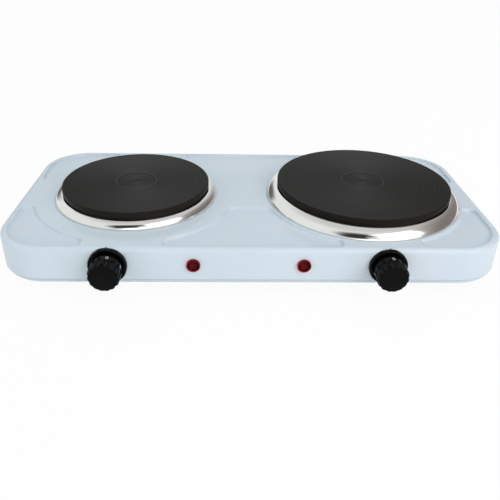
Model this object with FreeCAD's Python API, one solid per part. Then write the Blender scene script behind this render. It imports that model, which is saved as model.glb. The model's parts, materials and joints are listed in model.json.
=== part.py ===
import FreeCAD, Part
import math
import os

# Double electric hot plate: an enamelled steel housing on a base tray, two cast-iron plates in
# polished rings, two knobs on thermostat spindles and two pilot lamps. Millimetres, +Z up, +Y to the
# rear. The floor is Z = 0, and the origin is the middle of the outer box, on the floor.

# Housing and base tray; the plates and the deck round them give its width and depth
corner_r = 48.5           # corners in plan
edge_r = 4.5              # rounded edge between deck and walls
sheet = 0.6               # steel of housing and tray
wall_h = 33.5             # housing, from its lower edge to the deck
band_h = 4.5              # strip of tray that shows under the housing
tray_lap = 4.5            # how far the tray reaches up inside the housing
tray_gap = 1.2            # between tray and housing wall
tray_edge_r = 1.6         # bent edge round the tray floor
foot_h = 12.0             # floor to tray

# Recessed panels in the deck
panel_depth = 3.0
panel_border_x = 7.4      # left and right edge of the deck to panel
panel_border_y = 5.8      # front and rear edge of the deck to panel
panel_land = 2.5          # large ring to panel; the small ring lies in an arc of the same size
panel_side_y = 34.0       # half of the flat land that crosses the deck from side to side
panel_tip = 38.0          # half of the flat land in front of and behind each plate
panel_corner_r = 5.5
panel_upper_r = 1.2       # rounding along the panel's upper edge
panel_lower_r = 1.7       # rounding round the panel's floor

# Deck beyond the arcs of the panels, and between them
deck_left = 14.5
deck_between = 31.8
deck_right = 15.7
deck_front = 12.0
deck_rear = 15.0

# Plates: the small one is on the left and the large one on the right
small_rim_r = 77.5
large_rim_r = 92.5
small_ring_out = 8.5      # ring beyond the rim
large_ring_out = 11.5
small_dish_r = 21.3       # shallow round dish in the middle of the cooking face
large_dish_r = 22.6
small_coil_in = 11.0      # outer turn of the heating element inside the skirt
large_coil_in = 14.0
rim_h = 7.2               # top of the ring to the cooking face
rim_chamfer = 0.8
rim_undercut = 1.6        # shadow groove between rim and ring
rim_undercut_h = 1.8
rim_overhang = 6.0        # rim beyond the skirt
casting_h = 18.0          # cooking face to the lower edge of the skirt
slab_h = 6.0              # iron above the filling
skirt_wall = 4.5
boss_r = 14.0
dish_depth = 0.5
dimple_r = 2.4
dimple_depth = 0.6

# Trim rings
small_ring_h = 8.0        # deck to the top of the ring
large_ring_h = 10.3
ring_t = 0.8
ring_lip = 1.2            # upright outer lip
ring_bulge = 0.9          # how far the slope bows out
ring_shoulder = 1.2       # top of the slope, outside the rim
ring_fit = 1.0            # ring to skirt

# Heating element, filling, cover, terminals and clamp under each plate
filling_h = 9.0
coil_tube_r = 2.5
coil_step = 3.5           # the turns close in by this much every half turn
coil_half_turns = 4
coil_bend = 6.0
coil_clear = 0.15
cover_t = 0.8
cover_inset = 1.0
block_half_w = 16.0
block_margin = 7.0        # block beyond the element's tails, front and rear
block_h = 8.0
tab_t = 0.8
tab_half_w = 5.0
tab_leg_below = 3.5       # terminal below the wire that meets it
tab_reach = 14.0          # plate centre line to the face of a terminal
tail_out = 3.2            # tail below the block
hole_room = 3.5           # deck hole beyond the skirt
strap_w = 20.0
strap_t = 2.0
strap_drop = 6.7          # middle of the strap below its ends
strap_seat = 7.0          # strap end under the deck
strap_slope = 5.5
strap_ease = 1.5          # bend of the strap inside the deck hole
stud_r = 3.0
stud_in = 10.0            # stud in the casting
stud_out = 2.0            # stud below the nut
nut_af = 10.0
nut_h = 5.0
thread_gap = 0.05

# Knobs, bezels and spindles
controls_x = -4.7         # middle of knobs and lamps, from the middle of the housing
knob_out = 129.8          # left and right of the middle of the controls
knob_drop = 17.0          # deck to knob axis
knob_r = 14.7
knob_reach = 24.2         # wall to the crown of the knob
knob_crown = 0.8          # crown above the edge of the face
knob_edge_r = 3.0
knob_wall = 2.6
knob_face_t = 4.0
knob_boss_r = 6.0
knob_gap = 0.4            # knob to bezel floor
flute_count = 15
flute_r = 2.8
flute_depth = 1.6
flute_length = 10.0
bezel_r = 17.9
bezel_h = 4.5
bezel_floor = 2.0
bezel_lip = 2.0           # ring round the bezel's recess
bezel_round = 0.9
bezel_bow = 0.26          # rise of the rounding over its chord
nub_half_w = 1.3
nub_h = 1.3
spindle_r = 3.0
spindle_flat = 0.9        # depth of the flat that drives the knob
spindle_room = 1.0        # bezel and wall holes beyond the spindle
run_gap = 0.05            # spindle in its bush
screw_out = 6.0           # bezel screws aslant, this far up and across from the axis
screw_r = 1.75
screw_head_r = 3.0
screw_head_h = 1.4
screw_gap = 0.1

# Thermostats, measured back from the inner face of the front wall
frame_t = 1.2
frame_half_w = 18.0
frame_half_h = 9.0
bush_r = 5.5
bush_len = 9.0
stack_x = 13.0            # rivet and ceramic stack beside the spindle
spacer_r = 4.5
spacer_a = 11.8           # frame to first blade
spacer_b = 3.6            # first blade to second blade
spacer_c = 2.6            # second blade to bimetal strip
blade_t = 0.4
blade_half_w = 3.2
blade_tip = 9.0           # blade beyond the spindle
tab_a = 30.0              # far ends of the two blade tabs
tab_b = 24.5
tab_inset = 3.0           # wire in from the end of its tab
contact_x = 6.0
contact_r = 2.0
contact_h = 1.5
bimetal_t = 0.8
rivet_r = 1.5
rivet_head_r = 3.0
rivet_head_h = 1.5
pin_r = 1.2
pin_x = 4.0
tip_gap = 0.05            # spindle to first blade

# Pilot lamps
lamp_out = 51.4           # left and right of the middle of the controls
lamp_drop = 17.1          # deck to lamp axis
lens_flange_r = 6.5
lens_flange_h = 2.2
lens_cup_r = 5.2
lens_disc_r = 3.9
lens_cup_depth = 1.5
lens_body_r = 4.5
lens_body_len = 14.0
lens_front_t = 2.0        # red front, from the floor of the cup to the bulb
lens_wall = 1.1
bulb_r = 2.6
bulb_len = 11.0
clip_r = 8.0
clip_t = 0.8

# Feet, brackets and their screws
foot_in_x = 59.0          # housing wall to foot
foot_in_y = 42.0
foot_top_r = 13.0
foot_base_r = 11.0
foot_recess_r = 4.6
foot_recess_h = 6.0
foot_screw_r = 2.0
foot_screw_head_r = 4.0
foot_screw_head_h = 2.4
foot_screw_grip = 4.0     # screw above the tray floor
bracket_in_x = 64.0       # side wall to bracket
bracket_w = 16.0
bracket_t = 1.2
bracket_leg = 14.0        # bracket on the housing wall
bracket_foot = 14.0
bracket_clear = 2.0       # bracket to tray wall
base_screw_r = 2.0
base_screw_head_r = 3.8
base_screw_head_h = 2.2

# Vent slots in the tray under each plate
slot_w = 4.0
slot_len = 56.0
slot_pitch = 11.0
slot_count = 7

# Cord gland, terminal strip, earth tag and wires at the rear
gland_bore_r = 3.6
gland_neck_r = 6.5
gland_flange_r = 10.0
gland_flange_t = 2.5
gland_nose_r = 7.0
gland_reach = 7.0         # wall to the end of the gland
gland_lock_r = 8.5
gland_lock_t = 3.0
strip_w = 68.0
strip_d = 18.0
strip_gap = 22.0          # rear wall to strip
strip_top = 6.0           # strip above the wires
strip_pitch = 12.0
clamp_screw_r = 2.0
clamp_head_out = 1.0      # clamp screw above the strip
fixing_x = 30.5           # strip screws left and right of the middle
fixing_r = 1.75
fixing_head_r = 3.2
fixing_head_h = 2.0
fixing_grip = 3.0         # screw below the tray floor
wire_r = 1.3
wire_bend = 8.0
wire_gap = 0.2
wire_in = 8.0             # wire inside the strip
live_y = 66.0             # where the live wires turn aside
neutral_y = 46.0
neutral_x = 45.0
earth_y = 30.0            # face of the earth tag
earth_tag_half_w = 5.0
earth_tag_len = 14.0

# Levels and places that follow
small_ring_r = small_rim_r + small_ring_out
large_ring_r = large_rim_r + large_ring_out
small_coil_r = small_rim_r - rim_overhang - skirt_wall - small_coil_in
large_coil_r = large_rim_r - rim_overhang - skirt_wall - large_coil_in
panel_arc_r = large_ring_r + panel_land
body_w = deck_left + deck_between + deck_right + 4 * panel_arc_r
body_d = deck_front + deck_rear + 2 * panel_arc_r
small_x = deck_left + panel_arc_r - body_w / 2
large_x = body_w / 2 - deck_right - panel_arc_r
plate_y = (deck_front - deck_rear) / 2
foot_x = body_w / 2 - foot_in_x
foot_y = body_d / 2 - foot_in_y
bracket_x = body_w / 2 - bracket_in_x
tray_z = foot_h
floor_z = tray_z + sheet
lower_z = tray_z + band_h
deck_z = lower_z + wall_h
under_z = deck_z - sheet
tray_top_z = lower_z + tray_lap
front_y = -body_d / 2
rear_y = body_d / 2
axis_z = deck_z - knob_drop
lamp_z = deck_z - lamp_drop
strap_z = under_z - strap_drop
tray_half_w = body_w / 2 - sheet - tray_gap
tray_half_d = body_d / 2 - sheet - tray_gap
blade_a_v = frame_t + spacer_a
blade_b_v = blade_a_v + blade_t + spacer_b
bimetal_v = blade_b_v + blade_t + spacer_c
strip_rear_y = rear_y - strip_gap
strip_front_y = strip_rear_y - strip_d
wire_z = axis_z
origin_shift_y = (knob_reach - gland_reach) / 2

V = FreeCAD.Vector
UP = V(0, 0, 1)
LEFT, RIGHT = -1, 1


def box(x0, x1, y0, y1, z0, z1):
    return Part.makeBox(x1 - x0, y1 - y0, z1 - z0, V(x0, y0, z0))


def rod(radius, x, y, z0, z1):
    return Part.makeCylinder(radius, z1 - z0, V(x, y, z0), UP)


def washer(outer_r, inner_r, x, y, z0, z1):
    return rod(outer_r, x, y, z0, z1).cut(rod(inner_r, x, y, z0, z1))


def joined(shapes):
    return shapes[0].multiFuse(shapes[1:]).removeSplitter()


def turned(edges, x=0.0, y=0.0):
    """Solid of revolution about the upright line at x, y, from edges in the XZ plane."""
    solid = Part.Face(Part.Wire(edges)).revolve(V(0, 0, 0), UP, 360)
    solid.translate(V(x, y, 0))
    return solid


def line(p, q):
    return Part.LineSegment(p, q).toShape()


def polyline(points):
    """Edges through radius and height pairs in the XZ plane."""
    vectors = [V(r, 0, z) for r, z in points]
    return [line(p, q) for p, q in zip(vectors, vectors[1:])]


def bowed(start, end, bulge):
    """Arc between two radius and height pairs that bows out and up by the bulge."""
    (r0, z0), (r1, z1) = start, end
    run = math.hypot(r1 - r0, z1 - z0)
    middle = V((r0 + r1) / 2 + bulge * (z1 - z0) / run, 0, (z0 + z1) / 2 + bulge * (r0 - r1) / run)
    return Part.Arc(V(r0, 0, z0), middle, V(r1, 0, z1)).toShape()


def prism(points, width, y):
    """Profile in the XZ plane, drawn out along Y to both sides of y."""
    loop = points + points[:1]
    face = Part.Face(Part.Wire(polyline(loop)))
    face.translate(V(0, y - width / 2, 0))
    return face.extrude(V(0, width, 0))


def rounded_plan(half_w, half_d, radius, z):
    """Rounded rectangle about the middle of the housing, as a face."""
    solid = box(-half_w, half_w, -half_d, half_d, z, z + 1)
    upright = [e for e in solid.Edges if abs(e.tangentAt(e.FirstParameter).z) > 0.5]
    solid = solid.makeFillet(radius, upright)
    return [f for f in solid.Faces if abs(f.CenterOfMass.z - z) < 1e-6][0]


def pan(half_w, half_d, radius, z0, z1, soft_r, soft_z):
    """Rounded block with one soft edge all round, at the level soft_z."""
    solid = rounded_plan(half_w, half_d, radius, z0).extrude(V(0, 0, z1 - z0))
    edges = [e for e in solid.Edges if abs(e.BoundBox.ZMin - soft_z) < 1e-6 and e.BoundBox.ZLength < 1e-6]
    return solid.makeFillet(soft_r, edges)


def on_front(shape, x, z):
    """Stand a shape on the front wall: its local Z points out to the front, its local Y points up."""
    placed = shape.copy()
    placed.rotate(V(0, 0, 0), V(1, 0, 0), 90)
    placed.translate(V(x, front_y, z))
    return placed


def mirrored(shape):
    return shape.mirror(V(0, 0, 0), V(1, 0, 0))


def tube(edges, radius, start, direction):
    circle = Part.Wire([Part.Circle(start, direction, radius).toShape()])
    return Part.Wire(edges).makePipeShell([circle], True, False)


def bent(points, radius):
    """Straight runs through the points, joined by arcs of one radius."""
    corners = [V(*p) for p in points]
    edges = []
    here = corners[0]
    for before, at, after in zip(corners, corners[1:], corners[2:]):
        into = (at - before).normalize()
        out = (after - at).normalize()
        half = into.getAngle(out) / 2
        back = radius * math.tan(half)
        first = at - into * back
        last = at + out * back
        inward = (out - into).normalize()
        middle = at + inward * (radius / math.cos(half) - radius)
        edges.append(line(here, first))
        edges.append(Part.Arc(first, middle, last).toShape())
        here = last
    edges.append(line(here, corners[-1]))
    return edges


def wire(points):
    start = V(*points[0])
    return tube(bent(points, wire_bend), wire_r, start, V(*points[1]) - start)


class Hob:
    """Sizes and places of one plate and its control; side is LEFT or RIGHT."""

    def __init__(self, name, side, x, rim_r, ring_r, ring_h, dish_r, coil_r):
        self.name = name
        self.side = side
        self.x = x
        self.rim_r = rim_r
        self.ring_r = ring_r
        self.dish_r = dish_r
        self.coil_r = coil_r
        self.skirt_r = rim_r - rim_overhang
        self.hole_r = self.skirt_r + hole_room
        self.rim_z = deck_z + ring_h
        self.top_z = self.rim_z + rim_h
        self.skirt_z = self.top_z - casting_h
        self.cover_z = self.skirt_z - cover_t
        self.block_z = self.cover_z - block_h
        self.filling_top_z = self.top_z - slab_h
        self.filling_z = self.filling_top_z - filling_h
        self.coil_z = self.filling_top_z - filling_h / 2
        self.inner_coil_r = coil_r - coil_step * coil_half_turns
        self.tail_outer = (x + side * coil_bend, plate_y - coil_r)
        self.tail_inner = (x - side * coil_bend, plate_y - self.inner_coil_r)
        self.knob_x = controls_x + side * knob_out
        self.lamp_x = controls_x + side * lamp_out


hobs = [
    Hob("left", LEFT, small_x, small_rim_r, small_ring_r, small_ring_h, small_dish_r, small_coil_r),
    Hob("right", RIGHT, large_x, large_rim_r, large_ring_r, large_ring_h, large_dish_r, large_coil_r),
]


def panel_faces(grow, z):
    """The six recessed panels in plan, each side moved out by grow."""
    half_w = body_w / 2 - panel_border_x
    half_d = body_d / 2 - panel_border_y
    plan_r = corner_r - (panel_border_x + panel_border_y) / 2
    plan = rounded_plan(half_w, half_d, plan_r, z).extrude(UP)
    lands = [box(-body_w, body_w, -panel_side_y, panel_side_y, z, z + 1)]
    for hob in hobs:
        lands.append(rod(panel_arc_r, hob.x, plate_y, z, z + 1))
        lands.append(box(hob.x - panel_tip, hob.x + panel_tip, -body_d, body_d, z, z + 1))
    faces = []
    for solid in plan.cut(lands).Solids:
        upright = [e for e in solid.Edges if abs(e.tangentAt(e.FirstParameter).z) > 0.5]
        sharp = [e for e in upright if is_sharp(solid, e)]
        soft = solid.makeFillet(panel_corner_r, sharp)
        face = [f for f in soft.Faces if abs(f.CenterOfMass.z - z) < 1e-6][0]
        faces.append(face.makeOffset2D(grow) if grow else face)
    return faces


def is_sharp(solid, edge):
    """True where two upright faces meet at an angle along the edge."""
    middle = edge.valueAt((edge.FirstParameter + edge.LastParameter) / 2)
    normals = []
    for face in solid.ancestorsOfType(edge, Part.Face):
        u, v = face.Surface.parameter(middle)
        normals.append(face.normalAt(u, v))
    return abs(normals[0].getAngle(normals[1])) > 0.05


def housing():
    outer = pan(body_w / 2, body_d / 2, corner_r, lower_z, deck_z, edge_r, deck_z)
    inner = pan(body_w / 2 - sheet, body_d / 2 - sheet, corner_r - sheet, lower_z, under_z,
                edge_r - sheet, under_z)
    down = V(0, 0, -panel_depth)
    outer = outer.cut([f.extrude(down) for f in panel_faces(0.0, deck_z)])
    inner = inner.cut([f.extrude(down) for f in panel_faces(sheet, under_z)])
    lower = [e for e in outer.Edges if is_panel_edge(e, deck_z - panel_depth)]
    outer = outer.makeFillet(panel_lower_r, lower)
    upper = [e for e in outer.Edges if is_panel_edge(e, deck_z)]
    shell = outer.makeFillet(panel_upper_r, upper).cut(inner)
    cuts = [rod(h.hole_r, h.x, plate_y, under_z - 1, deck_z + 1) for h in hobs]
    through = -2 * sheet
    for hob in hobs:
        spindle_hole = rod(spindle_r + spindle_room, 0, 0, through, sheet)
        cuts.append(on_front(spindle_hole, hob.knob_x, axis_z))
        for across, up in screw_places(hob.side):
            cuts.append(on_front(rod(screw_r + screw_gap, across, up, through, sheet), hob.knob_x, axis_z))
        lens_hole = rod(lens_body_r + screw_gap, 0, 0, through, sheet)
        cuts.append(on_front(lens_hole, hob.lamp_x, lamp_z))
    cuts.append(Part.makeCylinder(gland_neck_r, 4 * sheet, V(0, rear_y - 2 * sheet, wire_z), V(0, 1, 0)))
    return shell.cut(cuts)


def is_panel_edge(edge, level):
    """True for an edge of the recessed panels at this level."""
    bounds = edge.BoundBox
    if bounds.ZLength > 1e-6 or abs(bounds.ZMin - level) > 1e-6:
        return False
    reach_x = body_w / 2 - edge_r
    reach_y = body_d / 2 - edge_r
    at_deck_edge = max(abs(bounds.XMin), abs(bounds.XMax)) > reach_x - 1e-4
    at_deck_edge = at_deck_edge or max(abs(bounds.YMin), abs(bounds.YMax)) > reach_y - 1e-4
    return not at_deck_edge


def base_tray():
    radius = corner_r - sheet - tray_gap
    outer = pan(tray_half_w, tray_half_d, radius, tray_z, tray_top_z, tray_edge_r, tray_z)
    inner = pan(tray_half_w - sheet, tray_half_d - sheet, radius - sheet, floor_z, tray_top_z,
                tray_edge_r - sheet, floor_z)
    cuts = [inner]
    for x, y in foot_places():
        cuts.append(rod(foot_screw_r + thread_gap, x, y, tray_z - 1, floor_z + 1))
    for x, y in bracket_screw_places():
        cuts.append(rod(base_screw_r + thread_gap, x, y, tray_z - 1, floor_z + 1))
    for x, y in tray_screw_places():
        cuts.append(rod(fixing_r + thread_gap, x, y, tray_z - 1, floor_z + 1))
    for hob in hobs:
        for i in range(slot_count):
            x = hob.x + (i - (slot_count - 1) / 2) * slot_pitch
            cuts.append(slot(x, plate_y))
    return outer.cut(cuts)


def slot(x, y):
    straight = slot_len / 2 - slot_w / 2
    middle = box(x - slot_w / 2, x + slot_w / 2, y - straight, y + straight, tray_z - 1, floor_z + 1)
    ends = [rod(slot_w / 2, x, y + d, tray_z - 1, floor_z + 1) for d in (-straight, straight)]
    return joined([middle] + ends)


def foot_places():
    return [(x, y) for y in (-foot_y, foot_y) for x in (-foot_x, foot_x)]


def bracket_screw_places():
    y = tray_half_d - sheet - bracket_clear - bracket_foot / 2
    return [(x, d * y) for d in (-1, 1) for x in (-bracket_x, bracket_x)]


def earth_screw_y():
    return earth_y - earth_tag_len / 2


def tray_screw_places():
    strip_y = (strip_front_y + strip_rear_y) / 2
    return [(-fixing_x, strip_y), (fixing_x, strip_y), (0.0, earth_screw_y())]


def foot(x, y):
    body = Part.makeCone(foot_base_r, foot_top_r, foot_h, V(x, y, 0), UP)
    recess = rod(foot_recess_r, x, y, -1, foot_recess_h)
    hole = rod(foot_screw_r + thread_gap, x, y, 0, foot_h + 1)
    return body.cut([recess, hole])


def foot_screw(x, y):
    head = rod(foot_screw_head_r, x, y, foot_recess_h - foot_screw_head_h, foot_recess_h)
    shank = rod(foot_screw_r, x, y, foot_recess_h, floor_z + foot_screw_grip)
    return joined([head, shank])


def wall_bracket(x, side):
    """Bent strip from the housing wall down over the tray's edge to the tray floor."""
    wall = body_d / 2 - sheet
    step_z = tray_top_z + bracket_t
    inset = tray_half_d - sheet - bracket_clear
    x0, x1 = x - bracket_w / 2, x + bracket_w / 2
    leg = box(x0, x1, wall - bracket_t, wall, step_z, step_z + bracket_leg)
    step = box(x0, x1, inset - bracket_t, wall, step_z, step_z + bracket_t)
    drop = box(x0, x1, inset - bracket_t, inset, floor_z, step_z + bracket_t)
    base = box(x0, x1, inset - bracket_foot, inset, floor_z, floor_z + bracket_t)
    bracket = joined([leg, step, drop, base])
    hole = rod(base_screw_r + thread_gap, x, inset - bracket_foot / 2, floor_z - 1, floor_z + bracket_t + 1)
    bracket = bracket.cut(hole)
    return bracket if side > 0 else bracket.mirror(V(0, 0, 0), V(0, 1, 0))


def base_screw(x, y):
    head = rod(base_screw_head_r, x, y, tray_z - base_screw_head_h, tray_z)
    shank = rod(base_screw_r, x, y, tray_z, floor_z + 3 * bracket_t)
    return joined([head, shank])


def plate(hob):
    """Cast-iron plate: rim, skirt, room for the filling, and a boss for the stud."""
    top = hob.top_z
    cavity_r = hob.skirt_r - skirt_wall
    seat_r = hob.rim_r - rim_undercut
    hole_r = stud_r + thread_gap
    profile = [
        (0, top - dish_depth - dimple_depth),
        (dimple_r, top - dish_depth),
        (hob.dish_r - dish_depth, top - dish_depth),
        (hob.dish_r, top),
        (hob.rim_r - rim_chamfer, top),
        (hob.rim_r, top - rim_chamfer),
        (hob.rim_r, hob.rim_z + rim_undercut_h),
        (seat_r, hob.rim_z + rim_undercut_h),
        (seat_r, hob.rim_z),
        (hob.skirt_r, hob.rim_z),
        (hob.skirt_r, hob.skirt_z),
        (cavity_r, hob.skirt_z),
        (cavity_r, hob.filling_top_z),
        (boss_r, hob.filling_top_z),
        (boss_r, hob.skirt_z),
        (hole_r, hob.skirt_z),
        (hole_r, hob.skirt_z + stud_in + thread_gap),
        (0, hob.skirt_z + stud_in + thread_gap),
    ]
    return turned(polyline(profile + profile[:1]), hob.x, plate_y)


def trim_ring(hob):
    """Pressed ring: upright lip on the deck, bowed slope, and a flange that the rim rests on."""
    flange_r = hob.skirt_r + ring_fit
    shoulder_r = hob.rim_r + ring_shoulder
    lip = (hob.ring_r, deck_z + ring_lip)
    shoulder = (shoulder_r, hob.rim_z)
    inner_lip = (hob.ring_r - ring_t, deck_z)
    inner_shoulder = (shoulder_r - ring_t / 2, hob.rim_z - ring_t)
    edges = polyline([(hob.ring_r, deck_z), lip])
    edges.append(bowed(lip, shoulder, ring_bulge))
    edges += polyline([shoulder, (flange_r, hob.rim_z), (flange_r, hob.rim_z - ring_t), inner_shoulder])
    edges.append(bowed(inner_lip, inner_shoulder, ring_bulge))
    edges += polyline([inner_lip, (hob.ring_r, deck_z)])
    return turned(Part.__sortEdges__(edges), hob.x, plate_y)


def element_path(hob):
    """Tail up, two turns of half circles that close in, and tail down."""
    side = hob.side
    x = hob.x
    tail_z = hob.block_z - tail_out
    bend_z = hob.coil_z - coil_bend
    quarter = coil_bend * math.sqrt(0.5)
    outer_y = hob.tail_outer[1]
    inner_y = hob.tail_inner[1]

    def at(across, y, z):
        return V(x - side * across, y, z)

    def tail(sign, y):
        foot_point = at(sign * coil_bend, y, tail_z)
        bend_point = at(sign * coil_bend, y, bend_z)
        middle = at(sign * quarter, y, bend_z + quarter)
        return line(foot_point, bend_point), Part.Arc(bend_point, middle, at(0, y, hob.coil_z)).toShape()

    edges = list(tail(-1, outer_y))
    radius = hob.coil_r
    start_y = outer_y
    for i in range(coil_half_turns):
        end_radius = radius - coil_step
        turn = 1 if i % 2 == 0 else -1
        end_y = plate_y + turn * end_radius
        half = abs(end_y - start_y) / 2
        middle = at(turn * half, (start_y + end_y) / 2, hob.coil_z)
        edges.append(Part.Arc(at(0, start_y, hob.coil_z), middle, at(0, end_y, hob.coil_z)).toShape())
        start_y = end_y
        radius = end_radius
    down, bend = tail(1, inner_y)
    edges += [bend, down]
    start = at(-coil_bend, outer_y, tail_z)
    return Part.__sortEdges__(edges), start


def element(hob, radius):
    edges, start = element_path(hob)
    return tube(edges, radius, start, UP)


def filling(hob):
    body = washer(hob.skirt_r - skirt_wall, boss_r, hob.x, plate_y, hob.filling_z, hob.filling_top_z)
    return body.cut(element(hob, coil_tube_r + coil_clear))


def plate_cover(hob):
    disc = rod(hob.skirt_r - cover_inset, hob.x, plate_y, hob.cover_z, hob.skirt_z)
    cuts = [rod(stud_r + thread_gap, hob.x, plate_y, hob.cover_z - 1, hob.skirt_z + 1)]
    for x, y in (hob.tail_outer, hob.tail_inner):
        cuts.append(rod(coil_tube_r + 2 * coil_clear, x, y, hob.cover_z - 1, hob.skirt_z + 1))
    return disc.cut(cuts)


def terminal_block(hob):
    y0 = hob.tail_outer[1] - block_margin
    y1 = hob.tail_inner[1] + block_margin
    block = box(hob.x - block_half_w, hob.x + block_half_w, y0, y1, hob.block_z, hob.cover_z)
    cuts = [rod(coil_tube_r + coil_clear, x, y, hob.block_z - 1, hob.cover_z + 1)
            for x, y in (hob.tail_outer, hob.tail_inner)]
    return block.cut(cuts)


def plate_terminals(hob):
    """Two bent tabs under the block, each round one tail of the element."""
    tabs = []
    for (x, y), sign in ((hob.tail_outer, hob.side), (hob.tail_inner, -hob.side)):
        face_x = hob.x + sign * tab_reach
        near_x = x - sign * tab_half_w
        leg_x = face_x - sign * tab_t
        y0, y1 = y - tab_half_w, y + tab_half_w
        flat = box(min(near_x, face_x), max(near_x, face_x), y0, y1, hob.block_z - tab_t, hob.block_z)
        leg = box(min(leg_x, face_x), max(leg_x, face_x), y0, y1, wire_z - tab_leg_below, hob.block_z)
        hole = rod(coil_tube_r + thread_gap, x, y, hob.block_z - tab_t - 1, hob.block_z + 1)
        tabs.append(joined([flat, leg]).cut(hole))
    return tabs


def clamp_strap(hob):
    """Strap across the deck hole: its ends press up under the deck."""
    seat = hob.hole_r + strap_slope - strap_ease
    end = seat + strap_seat
    low = hob.hole_r - strap_ease
    top = [(-end, under_z), (-seat, under_z), (-low, strap_z),
           (low, strap_z), (seat, under_z), (end, under_z)]
    lower = [(x, z - strap_t) for x, z in reversed(top)]
    strap = prism(top + lower, strap_w, 0)
    strap.translate(V(hob.x, plate_y, 0))
    return strap.cut(rod(stud_r + thread_gap, hob.x, plate_y, strap_z - strap_t - 1, strap_z + 1))


def nut_z():
    return strap_z - strap_t


def clamp_stud(hob):
    return rod(stud_r, hob.x, plate_y, nut_z() - nut_h - stud_out, hob.skirt_z + stud_in)


def clamp_nut(hob):
    corner = nut_af / math.sqrt(3)
    points = [V(corner * math.cos(math.radians(60 * i)), corner * math.sin(math.radians(60 * i)), 0)
              for i in range(7)]
    nut = Part.Face(Part.makePolygon(points)).extrude(V(0, 0, nut_h))
    nut.translate(V(hob.x, plate_y, nut_z() - nut_h))
    return nut.cut(rod(stud_r + thread_gap, hob.x, plate_y, nut_z() - nut_h - 1, nut_z() + 1))


def behind(distance):
    """Local height of a point this far behind the inner face of the front wall."""
    return -sheet - distance


def drive_profile(radius, flat, z0, z1):
    """Round bar with one flat on its upper side."""
    bar = rod(radius, 0, 0, z0, z1)
    return bar.cut(box(-radius, radius, radius - flat, radius + 1, z0, z1))


def knob():
    """Hollow knob with a crowned face, grip flutes along its front part and a driven bore."""
    rear = bezel_floor + knob_gap
    edge_z = knob_reach - knob_crown
    edge_in = knob_r - knob_edge_r
    edges = polyline([(0, rear), (knob_r, rear), (knob_r, edge_z - knob_edge_r)])
    quarter = knob_edge_r * math.sqrt(0.5)
    corner = V(edge_in + quarter, 0, edge_z - knob_edge_r + quarter)
    edges.append(Part.Arc(V(knob_r, 0, edge_z - knob_edge_r), corner, V(edge_in, 0, edge_z)).toShape())
    crown_r = (edge_in ** 2 + knob_crown ** 2) / (2 * knob_crown)
    half = math.asin(edge_in / crown_r) / 2
    crown = V(crown_r * math.sin(half), 0, knob_reach - crown_r * (1 - math.cos(half)))
    edges.append(Part.Arc(V(edge_in, 0, edge_z), crown, V(0, 0, knob_reach)).toShape())
    edges += polyline([(0, knob_reach), (0, rear)])
    body = turned(edges)
    hollow_z = edge_z - knob_face_t
    hollow = washer(knob_r - knob_wall, knob_boss_r, 0, 0, rear - 1, hollow_z)
    bore = drive_profile(spindle_r + run_gap, spindle_flat, rear - 1, hollow_z)
    flute_start = knob_reach - flute_length
    centre_r = knob_r - flute_depth + flute_r
    flutes = []
    for i in range(flute_count):
        angle = 2 * math.pi * (i + 0.5) / flute_count
        x = centre_r * math.sin(angle)
        y = centre_r * math.cos(angle)
        flutes.append(rod(flute_r, x, y, flute_start, knob_reach + 1))
        flutes.append(Part.makeSphere(flute_r, V(x, y, flute_start)))
    return body.cut([hollow, bore] + flutes)


def spindle():
    hollow_z = knob_reach - knob_crown - knob_face_t
    tip = behind(blade_a_v - tip_gap)
    root = bezel_floor
    shaft = rod(spindle_r, 0, 0, tip, root)
    drive = drive_profile(spindle_r, spindle_flat + run_gap, root, hollow_z - run_gap)
    return joined([shaft, drive])


def bezel():
    """Fixed ring behind the knob, with a recess for the knob's edge and a pointer nub on top."""
    recess_r = bezel_r - bezel_lip
    hole_r = spindle_r + spindle_room
    side_end = (bezel_r, bezel_h - bezel_round)
    face_end = (bezel_r - bezel_round, bezel_h)
    edges = polyline([(hole_r, 0), (bezel_r, 0), side_end])
    edges.append(bowed(side_end, face_end, bezel_bow))
    edges += polyline([face_end, (recess_r, bezel_h), (recess_r, bezel_floor),
                       (hole_r, bezel_floor), (hole_r, 0)])
    ring = turned(edges)
    root = bezel_r - bezel_lip / 2
    left, right, tip = V(-nub_half_w, root, 0), V(nub_half_w, root, 0), V(0, bezel_r + nub_h, 0)
    nub = Part.Face(Part.makePolygon([left, right, tip, left])).extrude(V(0, 0, bezel_h - bezel_round))
    ring = joined([ring, nub])
    cuts = []
    for across, up in screw_places(LEFT):
        cuts.append(rod(screw_r + screw_gap, across, up, -1, bezel_floor + 1))
        cuts.append(rod(screw_head_r + screw_gap, across, up, bezel_floor - screw_head_h, bezel_floor + 1))
    return ring.cut(cuts)


def screw_places(side):
    """Places of the two bezel screws about the knob axis; the right-hand pair is the left one mirrored."""
    return [(side * screw_out, -screw_out), (-side * screw_out, screw_out)]


def bezel_screw(across, up):
    head_z = bezel_floor - screw_head_h
    head = rod(screw_head_r, across, up, head_z, bezel_floor)
    shank = rod(screw_r, across, up, behind(2 * frame_t), head_z)
    return joined([head, shank])


def thermostat_frame():
    base = box(-frame_half_w, frame_half_w, -frame_half_h, frame_half_h, behind(frame_t), behind(0))
    bush = rod(bush_r, 0, 0, behind(frame_t + bush_len), behind(frame_t))
    frame = joined([base, bush])
    far = behind(frame_t + bush_len + 1)
    cuts = [rod(spindle_r + run_gap, 0, 0, far, 1), rod(rivet_r + thread_gap, -stack_x, 0, far, 1)]
    for across, up in screw_places(LEFT):
        cuts.append(rod(screw_r + thread_gap, across, up, behind(frame_t) - 1, 1))
    return frame.cut(cuts)


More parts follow.
